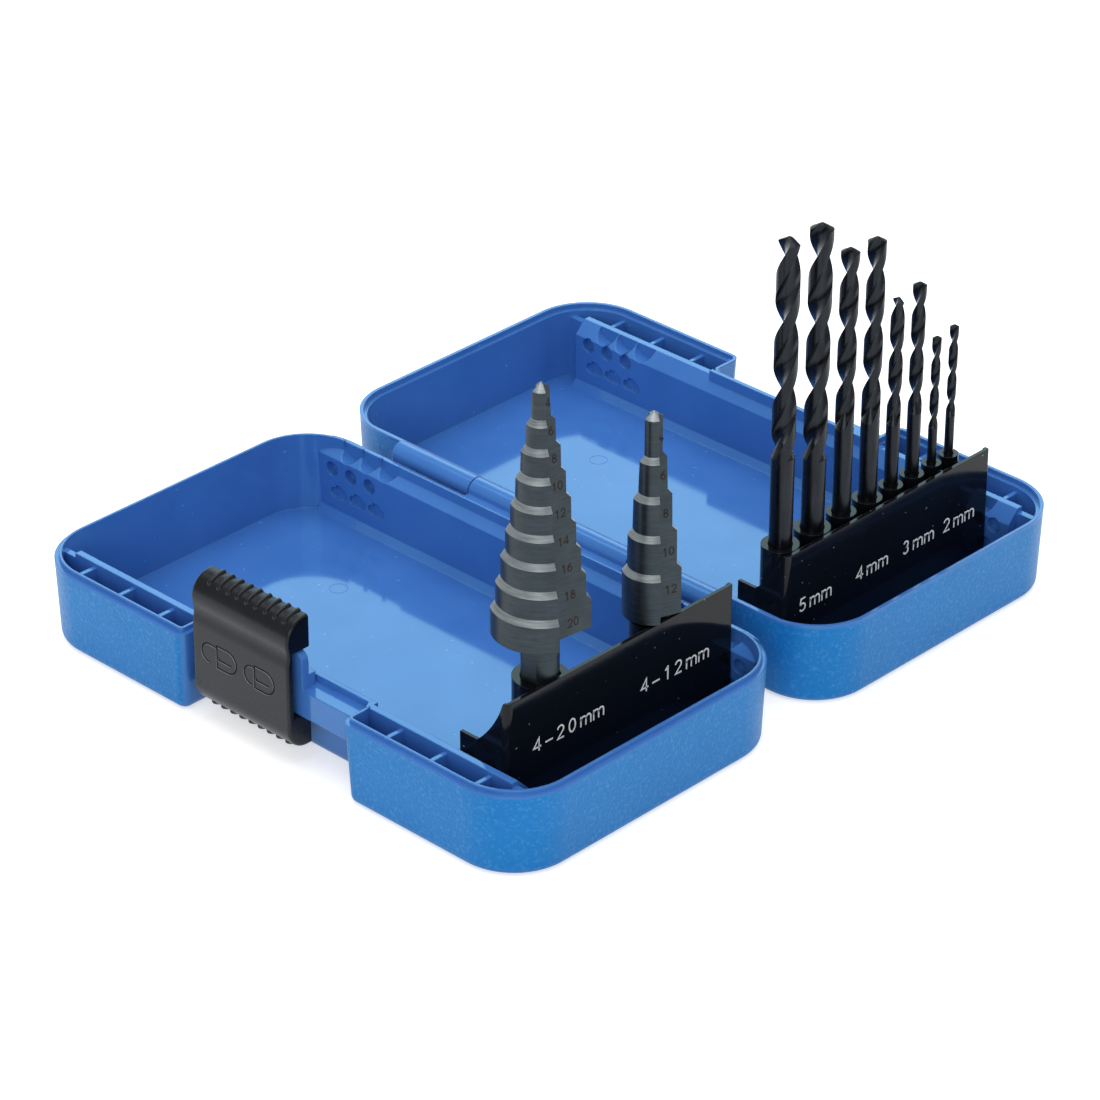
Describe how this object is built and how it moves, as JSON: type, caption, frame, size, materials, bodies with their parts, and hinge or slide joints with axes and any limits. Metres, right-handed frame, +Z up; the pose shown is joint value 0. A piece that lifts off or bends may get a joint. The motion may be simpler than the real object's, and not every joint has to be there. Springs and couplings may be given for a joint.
{
  "type": "drill bit case",
  "caption": "Hinged plastic drill bit case, opened flat, with a sliding latch and two fold-up racks that hold twist drills and step drills upright.",
  "frame": {"origin": "on the table under the middle of the hinge, which is the middle of the opened case's footprint", "axes": "+X along the hinge towards the racks, +Y from the base half to the lid half, +Z up"},
  "size_m": [0.1446, 0.1716, 0.1018],
  "materials": {
    "shell_blue": "fine matte outside, glossy inside",
    "rack_black": "gloss",
    "latch_black": "satin",
    "pin_steel": "brushed",
    "black_oxide": "black oxide, satin",
    "step_steel": "dark satin, bright step edges"
  },
  "bodies": {
    "base": {"base_shell": "shell_blue", "hinge_pin": "pin_steel"},
    "lid": {"lid_shell": "shell_blue"},
    "latch": {"latch_slider": "latch_black"},
    "step_rack": {"step_drill_rack": "rack_black"},
    "twist_rack": {"twist_drill_rack": "rack_black"},
    "step_drill_4_20": {"step_drill_4_20": "step_steel"},
    "step_drill_4_12": {"step_drill_4_12": "step_steel"},
    "twist_drill_5mm_a": {"twist_drill_5mm_a": "black_oxide"},
    "twist_drill_5mm_b": {"twist_drill_5mm_b": "black_oxide"},
    "twist_drill_4mm_a": {"twist_drill_4mm_a": "black_oxide"},
    "twist_drill_4mm_b": {"twist_drill_4mm_b": "black_oxide"},
    "twist_drill_3mm_a": {"twist_drill_3mm_a": "black_oxide"},
    "twist_drill_3mm_b": {"twist_drill_3mm_b": "black_oxide"},
    "twist_drill_2mm_a": {"twist_drill_2mm_a": "black_oxide"},
    "twist_drill_2mm_b": {"twist_drill_2mm_b": "black_oxide"}
  },
  "joints": [
    {"name": "lid_hinge", "type": "hinge", "parent": "base", "child": "lid", "pos_m": [0, 0, 0.0194], "axis": [1, 0, 0], "range_deg": [0, 90]},
    {"name": "step_rack_fold", "type": "hinge", "parent": "base", "child": "step_rack", "pos_m": [0.0546, -0.0415, 0.013], "axis": [0, -1, 0], "range_deg": [0, 90]},
    {"name": "twist_rack_fold", "type": "hinge", "parent": "lid", "child": "twist_rack", "pos_m": [0.0546, 0.0415, 0.013], "axis": [0, -1, 0], "range_deg": [0, 90]},
    {"name": "latch_slide", "type": "slide", "parent": "base", "child": "latch", "axis": [1, 0, 0], "range_m": [0, 0.015]},
    {"name": "step_drill_4_20_pull", "type": "slide", "parent": "step_rack", "child": "step_drill_4_20", "axis": [0, 0, 1], "range_m": [0, 0.022]},
    {"name": "step_drill_4_12_pull", "type": "slide", "parent": "step_rack", "child": "step_drill_4_12", "axis": [0, 0, 1], "range_m": [0, 0.024]},
    {"name": "twist_drill_5mm_a_pull", "type": "slide", "parent": "twist_rack", "child": "twist_drill_5mm_a", "axis": [0, 0, 1], "range_m": [0, 0.02]},
    {"name": "twist_drill_5mm_b_pull", "type": "slide", "parent": "twist_rack", "child": "twist_drill_5mm_b", "axis": [0, 0, 1], "range_m": [0, 0.02]},
    {"name": "twist_drill_4mm_a_pull", "type": "slide", "parent": "twist_rack", "child": "twist_drill_4mm_a", "axis": [0, 0, 1], "range_m": [0, 0.018]},
    {"name": "twist_drill_4mm_b_pull", "type": "slide", "parent": "twist_rack", "child": "twist_drill_4mm_b", "axis": [0, 0, 1], "range_m": [0, 0.018]},
    {"name": "twist_drill_3mm_a_pull", "type": "slide", "parent": "twist_rack", "child": "twist_drill_3mm_a", "axis": [0, 0, 1], "range_m": [0, 0.021]},
    {"name": "twist_drill_3mm_b_pull", "type": "slide", "parent": "twist_rack", "child": "twist_drill_3mm_b", "axis": [0, 0, 1], "range_m": [0, 0.021]},
    {"name": "twist_drill_2mm_a_pull", "type": "slide", "parent": "twist_rack", "child": "twist_drill_2mm_a", "axis": [0, 0, 1], "range_m": [0, 0.023]},
    {"name": "twist_drill_2mm_b_pull", "type": "slide", "parent": "twist_rack", "child": "twist_drill_2mm_b", "axis": [0, 0, 1], "range_m": [0, 0.023]}
  ],
  "couplings": [
    {"joint": "step_rack_fold", "follows": "lid_hinge", "ratio": 1},
    {"joint": "twist_rack_fold", "follows": "lid_hinge", "ratio": 1}
  ]
}
